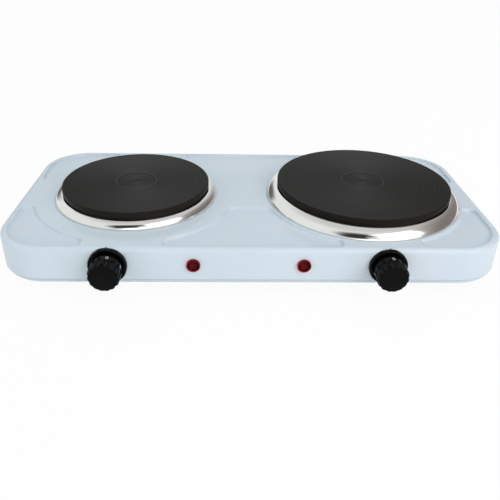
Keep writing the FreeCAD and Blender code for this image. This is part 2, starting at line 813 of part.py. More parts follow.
def thermostat_spacers():
    """Ceramic washers on the rivet, and the ceramic pin between bimetal strip and second blade."""
    hole_r = rivet_r + thread_gap
    spans = [(frame_t, blade_a_v), (blade_a_v + blade_t, blade_b_v), (blade_b_v + blade_t, bimetal_v)]
    washers = [washer(spacer_r, hole_r, -stack_x, 0, behind(far), behind(near)) for near, far in spans]
    pin = rod(pin_r, pin_x, 0, behind(bimetal_v), behind(blade_b_v + blade_t))
    return washers + [pin]


def blade(tab_end, near, contact_side):
    far = near + blade_t
    strip = box(-tab_end, blade_tip, -blade_half_w, blade_half_w, behind(far), behind(near))
    if contact_side > 0:
        contact = rod(contact_r, contact_x, 0, behind(far + contact_h), behind(far))
    else:
        contact = rod(contact_r, contact_x, 0, behind(near), behind(near - contact_h))
    hole = rod(rivet_r + thread_gap, -stack_x, 0, behind(far + 1), behind(near - 1))
    return joined([strip, contact]).cut(hole)


def contact_blades():
    return [blade(tab_a, blade_a_v, 1), blade(tab_b, blade_b_v, -1)]


def bimetal():
    far = bimetal_v + bimetal_t
    strip = box(-stack_x - spacer_r, blade_tip, -blade_half_w, blade_half_w, behind(far), behind(bimetal_v))
    return strip.cut(rod(rivet_r + thread_gap, -stack_x, 0, behind(far + 1), behind(bimetal_v - 1)))


def rivet():
    far = bimetal_v + bimetal_t
    shank = rod(rivet_r, -stack_x, 0, behind(far), behind(0))
    head = rod(rivet_head_r, -stack_x, 0, behind(far + rivet_head_h), behind(far))
    return joined([shank, head])


def pilot_lens():
    """Red lens: flange with a cupped front, and a hollow body through the wall."""
    cup_z = lens_flange_h - lens_cup_depth
    bore_z = cup_z - lens_front_t
    bore_r = lens_body_r - lens_wall
    profile = [
        (0, cup_z),
        (lens_disc_r, cup_z),
        (lens_cup_r, lens_flange_h),
        (lens_flange_r, lens_flange_h),
        (lens_flange_r, 0),
        (lens_body_r, 0),
        (lens_body_r, -lens_body_len),
        (bore_r, -lens_body_len),
        (bore_r, bore_z),
        (0, bore_z),
    ]
    return turned(polyline(profile + profile[:1]))


def pilot_bulb():
    front = lens_flange_h - lens_cup_depth - lens_front_t
    return rod(bulb_r, 0, 0, front - bulb_len, front)


def pilot_clip():
    return washer(clip_r, lens_body_r + thread_gap, 0, 0, behind(clip_t), behind(0))


def cord_gland():
    """Rubber bush that grips the rear wall; the bore is left open."""
    wall_in = rear_y - sheet
    profile = [
        (gland_bore_r, wall_in - gland_lock_t),
        (gland_lock_r, wall_in - gland_lock_t),
        (gland_lock_r, wall_in),
        (gland_neck_r - thread_gap, wall_in),
        (gland_neck_r - thread_gap, rear_y),
        (gland_flange_r, rear_y),
        (gland_flange_r, rear_y + gland_flange_t),
        (gland_nose_r, rear_y + gland_flange_t),
        (gland_nose_r, rear_y + gland_reach),
        (gland_bore_r, rear_y + gland_reach),
    ]
    gland = turned(polyline(profile + profile[:1]))
    gland.rotate(V(0, 0, 0), V(1, 0, 0), -90)
    gland.translate(V(0, 0, wire_z))
    return gland


def strip_places():
    return [(i - 2) * strip_pitch for i in range(5)]


def terminal_strip():
    top = wire_z + strip_top
    middle_y = (strip_front_y + strip_rear_y) / 2
    block = box(-strip_w / 2, strip_w / 2, strip_front_y, strip_rear_y, floor_z, top)
    cuts = []
    for x in strip_places():
        cuts.append(Part.makeCylinder(wire_r + wire_gap, strip_d, V(x, strip_front_y, wire_z), V(0, 1, 0)))
        cuts.append(rod(clamp_screw_r + thread_gap, x, strip_front_y + wire_in / 2, wire_z, top))
    for x in (-fixing_x, fixing_x):
        cuts.append(rod(fixing_r + thread_gap, x, middle_y, floor_z, top))
    return block.cut(cuts)


def clamp_screw(x):
    top = wire_z + strip_top + clamp_head_out
    return rod(clamp_screw_r, x, strip_front_y + wire_in / 2, wire_z + wire_r + thread_gap, top)


def tray_screw(x, y, seat_z):
    head = rod(fixing_head_r, x, y, seat_z, seat_z + fixing_head_h)
    shank = rod(fixing_r, x, y, tray_z - fixing_grip, seat_z)
    return joined([head, shank])


def tray_screws():
    seats = [wire_z + strip_top, wire_z + strip_top, floor_z + tab_t]
    return [tray_screw(x, y, seat) for (x, y), seat in zip(tray_screw_places(), seats)]


def earth_tag():
    half = earth_tag_half_w
    base = box(-half, half, earth_y - earth_tag_len, earth_y, floor_z, floor_z + tab_t)
    leg = box(-half, half, earth_y - tab_t, earth_y, floor_z, wire_z + half)
    hole = rod(fixing_r + thread_gap, 0, earth_screw_y(), floor_z - 1, floor_z + tab_t + 1)
    return joined([base, leg]).cut(hole)


def strip_end(x):
    return (x, strip_front_y + wire_in, wire_z)


def behind_wall_y(distance):
    return front_y + sheet + distance


def live_wire(hob):
    x = hob.knob_x + hob.side * (tab_a - tab_inset)
    start_x = hob.side * 2 * strip_pitch
    points = [strip_end(start_x), (start_x, live_y, wire_z), (x, live_y, wire_z),
              (x, behind_wall_y(blade_a_v + blade_t), wire_z)]
    return wire(points)


def load_wire(hob):
    x = hob.knob_x + hob.side * (tab_b - tab_inset)
    y = hob.tail_outer[1]
    points = [(x, behind_wall_y(blade_b_v + blade_t), wire_z), (x, y, wire_z),
              (hob.x + hob.side * tab_reach, y, wire_z)]
    return wire(points)


def neutral_wire(hob):
    y = hob.tail_inner[1]
    x = hob.side * neutral_x
    end_x = hob.side * strip_pitch
    points = [(hob.x - hob.side * tab_reach, y, wire_z), (x, y, wire_z), (x, neutral_y, wire_z),
              (end_x, neutral_y, wire_z), strip_end(end_x)]
    return wire(points)


def earth_wire():
    return wire([strip_end(0.0), (0.0, earth_y, wire_z)])


def build_nodes():
    """Every piece under its name; a group holds like pieces as separate solids."""
    nodes = {}
    nodes["housing"] = [housing()]
    nodes["base_tray"] = [base_tray()]
    nodes["wall_brackets"] = [wall_bracket(x, side) for side in (-1, 1) for x in (-bracket_x, bracket_x)]
    nodes["base_screws"] = [base_screw(x, y) for x, y in bracket_screw_places()]
    foot_names = ["foot_front_left", "foot_front_right", "foot_rear_left", "foot_rear_right"]
    for name, (x, y) in zip(foot_names, foot_places()):
        nodes[name] = [foot(x, y)]
    nodes["foot_screws"] = [foot_screw(x, y) for x, y in foot_places()]
    for hob in hobs:
        nodes[hob.name + "_plate"] = [plate(hob)]
        nodes[hob.name + "_trim_ring"] = [trim_ring(hob)]
        nodes[hob.name + "_filling"] = [filling(hob)]
        nodes[hob.name + "_heating_element"] = [element(hob, coil_tube_r)]
        nodes[hob.name + "_plate_cover"] = [plate_cover(hob)]
        nodes[hob.name + "_terminal_block"] = [terminal_block(hob)]
        nodes[hob.name + "_plate_terminals"] = plate_terminals(hob)
        nodes[hob.name + "_clamp_strap"] = [clamp_strap(hob)]
    nodes["clamp_studs"] = [clamp_stud(hob) for hob in hobs]
    nodes["clamp_nuts"] = [clamp_nut(hob) for hob in hobs]
    local = {
        "_thermostat_frame": [thermostat_frame()],
        "_thermostat_spacers": thermostat_spacers(),
        "_contact_blades": contact_blades(),
        "_bimetal_strip": [bimetal()],
        "_spindle": [spindle()],
        "_knob": [knob()],
        "_bezel": [bezel()],
    }
    rivets = []
    for hob in hobs:
        for name, shapes in local.items():
            faced = [s if hob.side < 0 else mirrored(s) for s in shapes]
            nodes[hob.name + name] = [on_front(s, hob.knob_x, axis_z) for s in faced]
        faced = rivet() if hob.side < 0 else mirrored(rivet())
        rivets.append(on_front(faced, hob.knob_x, axis_z))
    nodes["thermostat_rivets"] = rivets
    nodes["bezel_screws"] = [on_front(bezel_screw(*place), hob.knob_x, axis_z)
                             for hob in hobs for place in screw_places(hob.side)]
    for hob in hobs:
        nodes[hob.name + "_pilot_lens"] = [on_front(pilot_lens(), hob.lamp_x, lamp_z)]
        nodes[hob.name + "_pilot_bulb"] = [on_front(pilot_bulb(), hob.lamp_x, lamp_z)]
    nodes["pilot_clips"] = [on_front(pilot_clip(), hob.lamp_x, lamp_z) for hob in hobs]
    nodes["cord_gland"] = [cord_gland()]
    nodes["terminal_strip"] = [terminal_strip()]
    nodes["clamp_screws"] = [clamp_screw(x) for x in strip_places()]
    nodes["tray_screws"] = tray_screws()
    nodes["earth_tag"] = [earth_tag()]
    nodes["live_wires"] = [live_wire(hob) for hob in hobs]
    nodes["load_wires"] = [load_wire(hob) for hob in hobs]
    nodes["neutral_wires"] = [neutral_wire(hob) for hob in hobs]
    nodes["earth_wire"] = [earth_wire()]
    return nodes


def export(nodes):
    os.makedirs("parts", exist_ok=True)
    for name, shapes in nodes.items():
        solids = [solid for shape in shapes for solid in shape.Solids]
        piece = solids[0] if len(solids) == 1 else Part.makeCompound(solids)
        piece.translate(V(0, origin_shift_y, 0))
        piece.exportStep("parts/" + name + ".step")
        print(name, "solids:", len(solids), "volume:", round(piece.Volume, 1), "valid:", piece.isValid())


export(build_nodes())
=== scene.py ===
# %% [markdown]
# # A double electric hot plate
# The imported CAD model brings every piece of the hot plate in metres, standing on Z = 0 with its knobs
# towards -Y. This lesson gives it the looks of the real appliance: baked enamel, turned cast iron,
# polished steel rings, black plastic and red lamp lenses.

# %% Load the frame
import bpy
import json
import math
from mathutils import Matrix, Vector

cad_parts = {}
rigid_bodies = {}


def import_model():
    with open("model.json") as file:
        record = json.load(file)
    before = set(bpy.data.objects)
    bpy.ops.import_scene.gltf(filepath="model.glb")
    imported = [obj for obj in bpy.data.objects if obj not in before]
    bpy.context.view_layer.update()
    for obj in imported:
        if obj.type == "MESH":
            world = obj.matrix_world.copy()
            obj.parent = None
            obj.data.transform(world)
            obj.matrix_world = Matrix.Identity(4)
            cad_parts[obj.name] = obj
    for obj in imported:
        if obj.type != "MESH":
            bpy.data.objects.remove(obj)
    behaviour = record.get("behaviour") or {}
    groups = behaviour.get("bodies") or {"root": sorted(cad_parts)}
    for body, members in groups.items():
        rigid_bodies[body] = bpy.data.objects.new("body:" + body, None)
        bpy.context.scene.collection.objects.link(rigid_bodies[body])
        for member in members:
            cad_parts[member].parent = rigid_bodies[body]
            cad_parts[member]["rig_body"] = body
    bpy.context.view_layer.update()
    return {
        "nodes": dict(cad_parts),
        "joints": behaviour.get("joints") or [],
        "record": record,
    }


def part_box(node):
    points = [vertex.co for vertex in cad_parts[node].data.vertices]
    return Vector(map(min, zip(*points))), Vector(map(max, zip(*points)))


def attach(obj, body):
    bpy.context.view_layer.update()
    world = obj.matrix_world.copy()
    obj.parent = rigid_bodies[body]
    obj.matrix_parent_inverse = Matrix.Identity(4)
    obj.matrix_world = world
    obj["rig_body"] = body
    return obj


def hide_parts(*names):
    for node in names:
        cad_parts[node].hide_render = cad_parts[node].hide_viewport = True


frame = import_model()
nodes = frame["nodes"]
slot_of = {part["node"]: part["material_slot"] for part in frame["record"]["subparts"]}
MM = 0.001

# %% [markdown]
# Every finish is a small node tree on Object coordinates, so that a pattern keeps its size in metres and
# stays with its piece. A number that is the same all over a surface sits on the shader's own socket;
# only what changes from place to place comes from nodes. One helper starts a material, one makes a noise
# pattern, and three wire a pattern to a number, a colour or a fine relief. Noise seldom leaves the middle
# of its range, so that middle is spread from one number or tone to the other. The last helper gives the
# distance from an axis, for finishes that change in rings.

# %% Helpers for materials
NOISE_LOW, NOISE_HIGH = 0.3, 0.7


def new_finish(name, color, roughness, metallic=0.0, coat=0.0, specular=0.5):
    finish = bpy.data.materials.new(name)
    finish.use_nodes = True
    shader = finish.node_tree.nodes["Principled BSDF"]
    shader.inputs["Base Color"].default_value = (*color, 1.0)
    shader.inputs["Roughness"].default_value = roughness
    shader.inputs["Metallic"].default_value = metallic
    shader.inputs["Coat Weight"].default_value = coat
    shader.inputs["Specular IOR Level"].default_value = specular
    return finish, finish.node_tree, shader


def noise(tree, scale, detail=3.0, stretch=(1.0, 1.0, 1.0)):
    place = tree.nodes.new("ShaderNodeTexCoord")
    mapping = tree.nodes.new("ShaderNodeMapping")
    mapping.inputs["Scale"].default_value = stretch
    pattern = tree.nodes.new("ShaderNodeTexNoise")
    pattern.inputs["Scale"].default_value = scale
    pattern.inputs["Detail"].default_value = detail
    tree.links.new(place.outputs["Object"], mapping.inputs["Vector"])
    tree.links.new(mapping.outputs["Vector"], pattern.inputs["Vector"])
    return pattern.outputs["Fac"]


def between(tree, value, low, high, socket):
    """Turns a 0 to 1 pattern into numbers from low to high."""
    spread = tree.nodes.new("ShaderNodeMapRange")
    spread.inputs["From Min"].default_value = NOISE_LOW
    spread.inputs["From Max"].default_value = NOISE_HIGH
    spread.inputs["To Min"].default_value = low
    spread.inputs["To Max"].default_value = high
    tree.links.new(value, spread.inputs["Value"])
    tree.links.new(spread.outputs["Result"], socket)


def two_tone(tree, value, dark, light, socket):
    ramp = tree.nodes.new("ShaderNodeValToRGB")
    ramp.color_ramp.elements[0].position = NOISE_LOW
    ramp.color_ramp.elements[0].color = (*dark, 1.0)
    ramp.color_ramp.elements[1].position = NOISE_HIGH
    ramp.color_ramp.elements[1].color = (*light, 1.0)
    tree.links.new(value, ramp.inputs["Fac"])
    tree.links.new(ramp.outputs["Color"], socket)


def bump(tree, height, depth, shader):
    relief = tree.nodes.new("ShaderNodeBump")
    relief.inputs["Strength"].default_value = 1.0
    relief.inputs["Distance"].default_value = depth
    tree.links.new(height, relief.inputs["Height"])
    tree.links.new(relief.outputs["Normal"], shader.inputs["Normal"])


def from_axis(tree, offset, scale):
    """A point's place and distance from an axis; the axis runs where the scale is 0."""
    place = tree.nodes.new("ShaderNodeTexCoord")
    mapping = tree.nodes.new("ShaderNodeMapping")
    mapping.inputs["Location"].default_value = offset
    mapping.inputs["Scale"].default_value = scale
    distance = tree.nodes.new("ShaderNodeVectorMath")
    distance.operation = "LENGTH"
    tree.links.new(place.outputs["Object"], mapping.inputs["Vector"])
    tree.links.new(mapping.outputs["Vector"], distance.inputs[0])
    return mapping.outputs["Vector"], distance.outputs["Value"]


finishes = {}
print("helpers ready")

# %% [markdown]
# The housing and the tray wear baked enamel: a pale blue-grey coat with a wet gloss. Its colour drifts by
# a shade over the deck. The gloss is a clear coat over a softer body, so the dark plates mirror in the
# deck in front of their rings. Enamel flows a little before it sets and rounds every edge, and a Bevel
# node gives the shading that softness, so the pressed panels have soft borders.

# %% Enamel
EDGE_ROUNDING = 1.6 * MM
enamel_tones = (0.604, 0.690, 0.748), (0.648, 0.708, 0.772)
finish, tree, shader = new_finish("baked_enamel", (0.62, 0.70, 0.76), 0.30, coat=0.6, specular=0.0)
shader.inputs["Coat Roughness"].default_value = 0.16
shader.inputs["Coat IOR"].default_value = 1.5
two_tone(tree, noise(tree, 9.0), *enamel_tones, shader.inputs["Base Color"])
between(tree, noise(tree, 60.0), 0.26, 0.34, shader.inputs["Roughness"])
rounded = tree.nodes.new("ShaderNodeBevel")
rounded.samples = 8
rounded.inputs["Radius"].default_value = EDGE_ROUNDING
tree.links.new(rounded.outputs["Normal"], shader.inputs["Normal"])
tree.links.new(rounded.outputs["Normal"], shader.inputs["Coat Normal"])
finishes["enamel"] = finish
print("finish:", finish.name)

# %% [markdown]
# The plates are cast iron with a black heat-proof coat, turned on a lathe. The grooves of the turning
# are modelled further down. No two passes of the tool leave the same mark, so the finish has rings as
# well: the distance from the plate's axis goes through a noise along one line, and that noise shifts
# tone and gloss from ring to ring. The grain of the turning also draws a highlight out across the grooves,
# which is what an anisotropic gloss with a tangent round the axis does. The edge of the dish in the middle
# is painted as a thin paler ring, a painted highlight for the light that edge catches, and a fine grain
# over it all is the sand of the casting.

# %% Cast iron
dish_radius = {"left": 21.3 * MM, "right": 22.6 * MM}
# Painted highlight: a thin paler ring of colour on the dish edge, for the light that edge catches.
DISH_EDGE_HIGHLIGHT_HALF_WIDTH = 0.45 * MM
DISH_EDGE_HIGHLIGHT_TONE = (0.050, 0.043, 0.038)
PASSES_PER_METRE = 900.0
SAND_DEPTH = 0.006 * MM
iron_tones = (0.0072, 0.0058, 0.0049), (0.0140, 0.0116, 0.0100)


def iron_finish(side):
    low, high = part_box(side + "_plate")
    middle = (low + high) / 2
    finish, tree, shader = new_finish(side + "_turned_iron", (0.010, 0.0085, 0.0075), 0.42, specular=0.1)
    distance = from_axis(tree, (-middle.x, -middle.y, 0.0), (1.0, 1.0, 0.0))[1]
    passes = tree.nodes.new("ShaderNodeTexNoise")
    passes.noise_dimensions = "1D"
    passes.inputs["Scale"].default_value = PASSES_PER_METRE
    passes.inputs["Detail"].default_value = 3.0
    tree.links.new(distance, passes.inputs["W"])
    # The paler ring at the dish edge is a painted highlight, not a mark on the iron.
    dish_edge_highlight = tree.nodes.new("ShaderNodeMath")
    dish_edge_highlight.operation = "COMPARE"
    dish_edge_highlight.inputs[1].default_value = dish_radius[side]
    dish_edge_highlight.inputs[2].default_value = DISH_EDGE_HIGHLIGHT_HALF_WIDTH
    tree.links.new(distance, dish_edge_highlight.inputs[0])
    tone = tree.nodes.new("ShaderNodeMix")
    tone.data_type = "RGBA"
    tone.inputs["B"].default_value = (*DISH_EDGE_HIGHLIGHT_TONE, 1.0)
    tree.links.new(dish_edge_highlight.outputs["Value"], tone.inputs["Factor"])
    two_tone(tree, passes.outputs["Fac"], *iron_tones, tone.inputs["A"])
    tree.links.new(tone.outputs["Result"], shader.inputs["Base Color"])
    between(tree, passes.outputs["Fac"], 0.48, 0.38, shader.inputs["Roughness"])
    shader.inputs["Anisotropic"].default_value = 0.6
    turning = tree.nodes.new("ShaderNodeTangent")
    turning.direction_type = "RADIAL"
    turning.axis = "Z"
    tree.links.new(turning.outputs["Tangent"], shader.inputs["Tangent"])
    shader.inputs["Specular Tint"].default_value = (1.0, 0.92, 0.86, 1.0)
    bump(tree, noise(tree, 1600.0), SAND_DEPTH, shader)
    return finish


iron_finishes = {side: iron_finish(side) for side in ("left", "right")}
finishes["iron"] = iron_finishes["left"]
print("finishes:", [finish.name for finish in iron_finishes.values()])

# %% [markdown]
# The trim rings are pressed from stainless steel and polished. The metal is nearly a mirror, with hair
# lines that run along the ring; noise that is squeezed in height breaks the gloss in that direction.

# %% Polished steel
finish, tree, shader = new_finish("polished_steel", (0.79, 0.755, 0.715), 0.12, metallic=1.0)
between(tree, noise(tree, 90.0, stretch=(1.0, 1.0, 14.0)), 0.09, 0.17, shader.inputs["Roughness"])
two_tone(tree, noise(tree, 14.0), (0.75, 0.71, 0.66), (0.83, 0.80, 0.77), shader.inputs["Base Color"])
finishes["ring"] = finish
print("finish:", finish.name)

# %% [markdown]
# Knobs and bezels are black moulded plastic. A gloss mould leaves it shiny, but handling dulls it in
# patches, so the roughness wanders between satin and gloss.

# %% Black plastic
MOULD_GRAIN = 0.006 * MM
plastic_tones = (0.0016, 0.0016, 0.0019), (0.0027, 0.0027, 0.0032)
finish, tree, shader = new_finish("black_plastic", (0.0022, 0.0022, 0.0026), 0.16, specular=0.07)
between(tree, noise(tree, 150.0), 0.11, 0.20, shader.inputs["Roughness"])
two_tone(tree, noise(tree, 60.0), *plastic_tones, shader.inputs["Base Color"])
bump(tree, noise(tree, 2200.0), MOULD_GRAIN, shader)
finishes["black"] = finish
print("finish:", finish.name)

# %% [markdown]
# The lamp lenses are clear red plastic over an unlit bulb. The distance from the lens axis, as a share of
# the flange's radius, picks the red, and light and shade are painted into it: the flange is painted the
# brightest red, for light that enters it and leaves it again, and a painted light makes it brightest at
# the lower left; the sloping wall of the cup is painted nearly black as shade, and the disc at its floor
# is painted dark for the unlit inside of the lamp.

# %% Red lens plastic
LENS_EDGE = 6.5 * MM
# Painted light and shade: the lens colour is brightest towards the lower left and darkest towards the
# upper right, down to this share.
PAINTED_LIGHT_TOWARDS = (-0.7, 0.0, -0.7)
PAINTED_SHADE_LEAST = 0.30
# The red of the lens with painted light and shade by radius: painted light on the flange, painted shade on
# the cup wall, a dark disc painted for the unlit inside.
lens_red_painted_light_rings = [(0.0, (0.150, 0.007, 0.012)), (3.5, (0.120, 0.005, 0.009)), (4.0, (0.020, 0.001, 0.002)),
              (5.0, (0.030, 0.002, 0.003)), (5.4, (0.330, 0.006, 0.013)), (6.4, (0.480, 0.008, 0.017))]


def lens_finish(side):
    low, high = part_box(side + "_pilot_lens")
    middle = (low + high) / 2
    finish, tree, shader = new_finish(side + "_red_lens", (0.2, 0.01, 0.02), 0.14, specular=0.06)
    share = 1.0 / LENS_EDGE
    spot, distance = from_axis(tree, (-middle.x * share, 0.0, -middle.z * share), (share, 0.0, share))
    ramp = tree.nodes.new("ShaderNodeValToRGB")
    while len(ramp.color_ramp.elements) < len(lens_red_painted_light_rings):
        ramp.color_ramp.elements.new(1.0)
    for stop, (radius, color) in zip(ramp.color_ramp.elements, lens_red_painted_light_rings):
        stop.position = radius * MM / LENS_EDGE
        stop.color = (*color, 1.0)
    tree.links.new(distance, ramp.inputs["Fac"])
    # Painted light and shade: the ring colours are multiplied brighter towards the lower left and darker
    # towards the upper right.
    painted_light_facing = tree.nodes.new("ShaderNodeVectorMath")
    painted_light_facing.operation = "DOT_PRODUCT"
    painted_light_facing.inputs[1].default_value = PAINTED_LIGHT_TOWARDS
    painted_light_fall = tree.nodes.new("ShaderNodeMapRange")
    painted_light_fall.inputs["From Min"].default_value = -1.0
    painted_light_fall.inputs["To Min"].default_value = PAINTED_SHADE_LEAST
    painted_light_tint = tree.nodes.new("ShaderNodeMix")
    painted_light_tint.data_type = "RGBA"
    painted_light_tint.blend_type = "MULTIPLY"
    painted_light_tint.inputs["Factor"].default_value = 1.0
    tree.links.new(spot, painted_light_facing.inputs[0])
    tree.links.new(painted_light_facing.outputs["Value"], painted_light_fall.inputs["Value"])
    tree.links.new(ramp.outputs["Color"], painted_light_tint.inputs["A"])
    tree.links.new(painted_light_fall.outputs["Result"], painted_light_tint.inputs["B"])
    tree.links.new(painted_light_tint.outputs["Result"], shader.inputs["Base Color"])
    between(tree, noise(tree, 260.0), 0.10, 0.18, shader.inputs["Roughness"])
    return finish


lens_finishes = {side: lens_finish(side) for side in ("left", "right")}
finishes["lamp"] = lens_finishes["left"]
print("finishes:", [finish.name for finish in lens_finishes.values()])

# %% [markdown]
# The rest is seen from below, from behind or not at all: rubber feet and gland, zinc-plated steel,
# brass, ceramic, the sheath of the heating elements, woven sleeves and the bulbs' glass. Each gets its
# own grain and roughness from the same helpers. A row of the table has the dark and the light tone, the
# least and the most roughness, metallic, and the scale and depth of the grain.

# %% Other finishes
BULB_CLEARNESS = 0.8
plain_finishes = {
    "rubber": ((0.016, 0.016, 0.017), (0.026, 0.026, 0.027), 0.62, 0.80, 0.0, 700.0, 0.00004),
    "steel": ((0.46, 0.46, 0.48), (0.60, 0.60, 0.61), 0.28, 0.44, 1.0, 220.0, 0.00001),
    "element": ((0.19, 0.18, 0.17), (0.29, 0.27, 0.25), 0.36, 0.52, 1.0, 160.0, 0.00001),
    "brass": ((0.62, 0.45, 0.18), (0.76, 0.58, 0.28), 0.22, 0.38, 1.0, 200.0, 0.00001),
    "ceramic": ((0.78, 0.75, 0.69), (0.86, 0.84, 0.79), 0.55, 0.75, 0.0, 500.0, 0.00002),
    "sleeve": ((0.66, 0.62, 0.54), (0.80, 0.77, 0.70), 0.70, 0.88, 0.0, 1500.0, 0.00008),
    "bulb": ((0.85, 0.76, 0.66), (0.93, 0.86, 0.78), 0.04, 0.10, 0.0, 120.0, 0.000005),
}
for slot, (dark, light, smooth, rough, metallic, scale, depth) in plain_finishes.items():
    finish, tree, shader = new_finish(slot + "_finish", dark, rough, metallic=metallic)
    two_tone(tree, noise(tree, scale / 6), dark, light, shader.inputs["Base Color"])
    between(tree, noise(tree, scale), smooth, rough, shader.inputs["Roughness"])
    bump(tree, noise(tree, scale * 1.5), depth, shader)
    if slot == "bulb":
        shader.inputs["Transmission Weight"].default_value = BULB_CLEARNESS
    finishes[slot] = finish
for name, node in nodes.items():
    node.data.materials.clear()
    node.data.materials.append(finishes[slot_of[name]])
print("finishes:", sorted(finishes))

# %% [markdown]
# A CAD mesh is made of loose flat triangles, and a gloss surface shows every one of them. The shapes of
# the CAD nodes stay as they are. For the pieces that show, a copy is welded, shaded smooth up to a chosen
# angle, and given normals that follow the large faces, so flat sheet stays flat beside a rounded edge.
# The pressed sheet of housing and tray has only soft bends, so its angle is wider.

# %% Smooth copies of CAD pieces
WELD = 0.002 * MM
SHEET_ANGLE = 60.0
PIECE_ANGLE = 35.0
SHEET_NODES = ("housing", "base_tray")


def pick(*pieces):
    if bpy.context.object and bpy.context.object.mode != "OBJECT":
        bpy.ops.object.mode_set(mode="OBJECT")
    bpy.ops.object.select_all(action="DESELECT")
    for piece in pieces:
        piece.select_set(True)
    bpy.context.view_layer.objects.active = pieces[0]


def shade(piece, angle):
    pick(piece)
    bpy.ops.object.shade_smooth_by_angle(angle=math.radians(angle))
    even = piece.modifiers.new("even_shading", "WEIGHTED_NORMAL")
    even.mode = "FACE_AREA_WITH_ANGLE"
    even.keep_sharp = True
    bpy.ops.object.modifier_apply(modifier=even.name)


def dress(piece, node):
    """The piece takes the place, body and slot of a CAD node."""
    piece.data.materials.clear()
    piece.data.materials.append(finishes[slot_of[node]])
    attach(piece, nodes[node]["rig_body"])
    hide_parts(node)


def smooth_copy(node, angle):
    piece = bpy.data.objects.new(node + "_smooth", nodes[node].data.copy())
    bpy.context.scene.collection.objects.link(piece)
    pick(piece)
    bpy.ops.mesh.customdata_custom_splitnormals_clear()
    bpy.ops.object.mode_set(mode="EDIT")
    bpy.ops.mesh.select_all(action="SELECT")
    bpy.ops.mesh.remove_doubles(threshold=WELD)
    bpy.ops.mesh.tris_convert_to_quads()
    bpy.ops.object.mode_set(mode="OBJECT")
    shade(piece, angle)
    dress(piece, node)
    return piece


smooth_nodes = [*SHEET_NODES, "cord_gland"]
smooth_nodes += ["foot_front_left", "foot_front_right", "foot_rear_left", "foot_rear_right"]
for side in ("left", "right"):
    smooth_nodes += [side + "_knob", side + "_bezel", side + "_pilot_lens"]
for name in smooth_nodes:
    piece = smooth_copy(name, SHEET_ANGLE if name in SHEET_NODES else PIECE_ANGLE)
    if name == "right_pilot_lens":
        piece.data.materials[0] = lens_finishes["right"]
    print(piece.name, "faces:", len(piece.data.polygons))

# %% [markdown]
# Plates and rings are round, and both are made as a turner makes them: the section is drawn once and
# spun about the plate's axis. Drawing starts from a plane that is merged to one vertex; each further
# point of the section is an extrude of the last vertex. The seam of the spin is merged and the normals
# are made to point out.

# %% A lathe
TURN_STEPS = 160
SEAM = 0.001 * MM


def turn(name, section, centre):
    pick(next(iter(nodes.values())))
    bpy.ops.mesh.primitive_plane_add(size=MM, location=(0.0, 0.0, 0.0))
    piece = bpy.context.object
    piece.name = name
    bpy.ops.object.mode_set(mode="EDIT")
    bpy.ops.mesh.select_all(action="SELECT")
    bpy.ops.mesh.merge(type="CENTER")
    here = Vector((0.0, 0.0, 0.0))
    first = True
    for radius, height in section:
        there = Vector((centre.x + radius, centre.y, height))
        if first:
            bpy.ops.transform.translate(value=there - here)
        else:
            bpy.ops.mesh.extrude_region_move(TRANSFORM_OT_translate={"value": there - here})
        first = False
        here = there
    bpy.ops.mesh.select_all(action="SELECT")
    bpy.ops.mesh.spin(steps=TURN_STEPS, angle=2 * math.pi, center=(centre.x, centre.y, 0.0),
                      axis=(0.0, 0.0, 1.0))
    bpy.ops.mesh.select_all(action="SELECT")
    bpy.ops.mesh.remove_doubles(threshold=SEAM)
    bpy.ops.mesh.normals_make_consistent(inside=False)
    bpy.ops.object.mode_set(mode="OBJECT")
    return piece


def grooves(inner, outer, level, pitch, depth):
    """Section of a turned face: a zigzag from one radius to another."""
    count = round((outer - inner) / pitch)
    step = (outer - inner) / count
    points = []
    for i in range(count):
        points.append((inner + i * step, level))
        points.append((inner + (i + 0.5) * step, level - depth))
    points.append((outer, level))
    return points


print("lathe ready")

# %% [markdown]
# The cooking face shows the tool's path: fine grooves 1.6 millimetres apart, a shallow dish in the
# middle with the mark of the lathe centre, and a chamfered rim. The grooves are real geometry, so they
# catch light from every side. Below the rim the section follows the casting: skirt, room for the
# element, and the boss for the stud.

